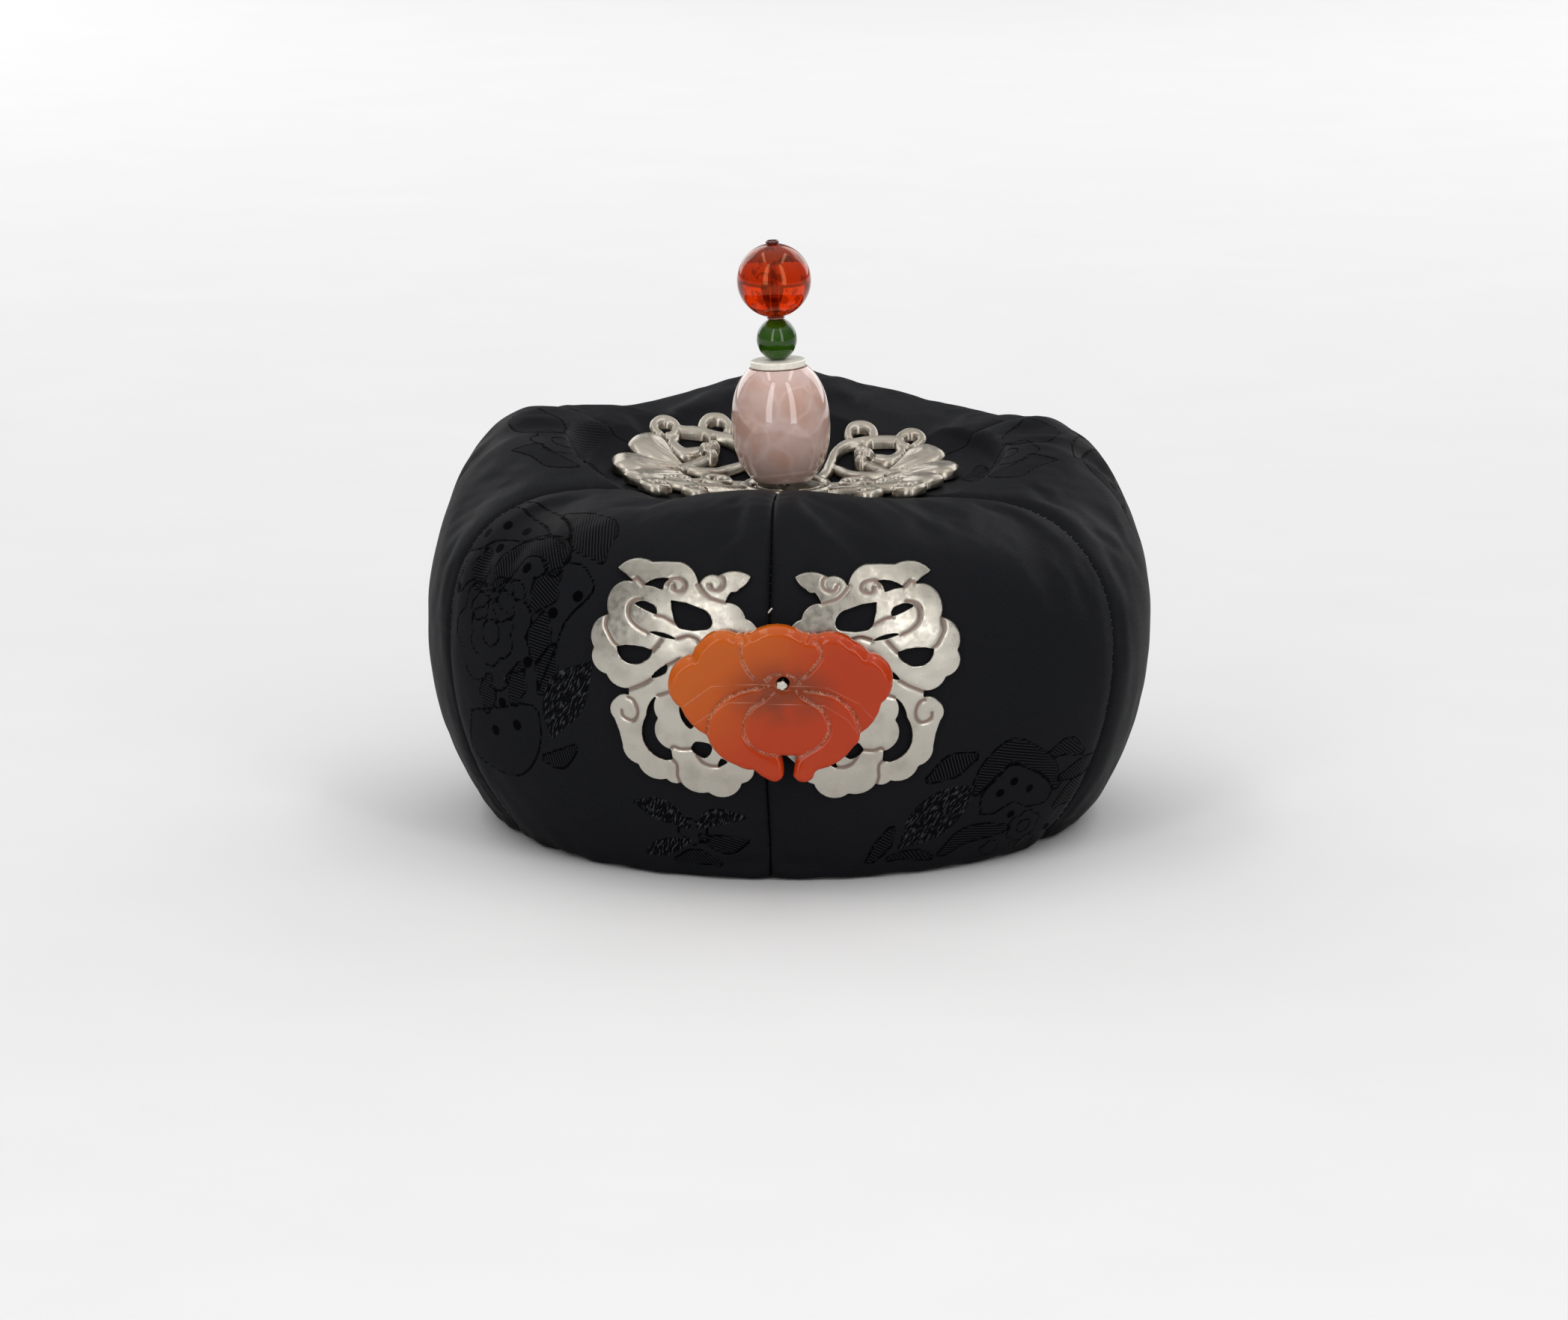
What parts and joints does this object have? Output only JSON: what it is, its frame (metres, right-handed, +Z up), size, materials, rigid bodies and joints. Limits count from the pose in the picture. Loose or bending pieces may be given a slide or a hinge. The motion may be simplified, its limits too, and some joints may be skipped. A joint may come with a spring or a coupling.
{
  "type": "bridal coronet",
  "caption": "Padded black silk bridal coronet, open underneath, with a dished silver top plate under a stack of beads and a pierced silver front plate carrying a carved stone butterfly.",
  "frame": {"origin": "middle of the coronet's footprint, in the plane of its hem", "axes": "+Z up; the front, with the butterfly, faces -Y; +X is the right-hand side seen from the front"},
  "size_m": [0.1462, 0.148, 0.1195],
  "materials": {
    "black_silk": "satin black silk damask with a tone-on-tone flower and leaf pattern",
    "cast_silver": "polished cast silver relief with brown recesses",
    "sheet_silver": "satin sheet silver, pierced and engraved, with pinkish brown recesses",
    "rose_quartz": "polished cloudy rose quartz",
    "white_stone": "polished ivory white stone",
    "green_jade": "polished deep green stone with darker bands",
    "pink_seed_bead": "glossy pinkish seed bead",
    "amber": "polished clear red-brown amber with dark inclusions",
    "dark_red_bead": "glossy dark red bead",
    "carnelian": "polished translucent orange carnelian with frosted carved lines",
    "white_thread": "twisted white thread"
  },
  "bodies": {
    "root": {"gore_front_left": "black_silk", "gore_front_right": "black_silk", "gore_side_left": "black_silk", "gore_side_right": "black_silk", "gore_back_left": "black_silk", "gore_back_right": "black_silk", "top_plate": "cast_silver", "quartz_barrel": "rose_quartz", "white_ring": "white_stone", "jade_bead": "green_jade", "spacer_bead": "pink_seed_bead", "amber_bead": "amber", "stop_bead": "dark_red_bead", "stack_thread": "white_thread", "front_plate": "sheet_silver", "carnelian_butterfly": "carnelian", "front_thread": "white_thread"}
  },
  "joints": []
}
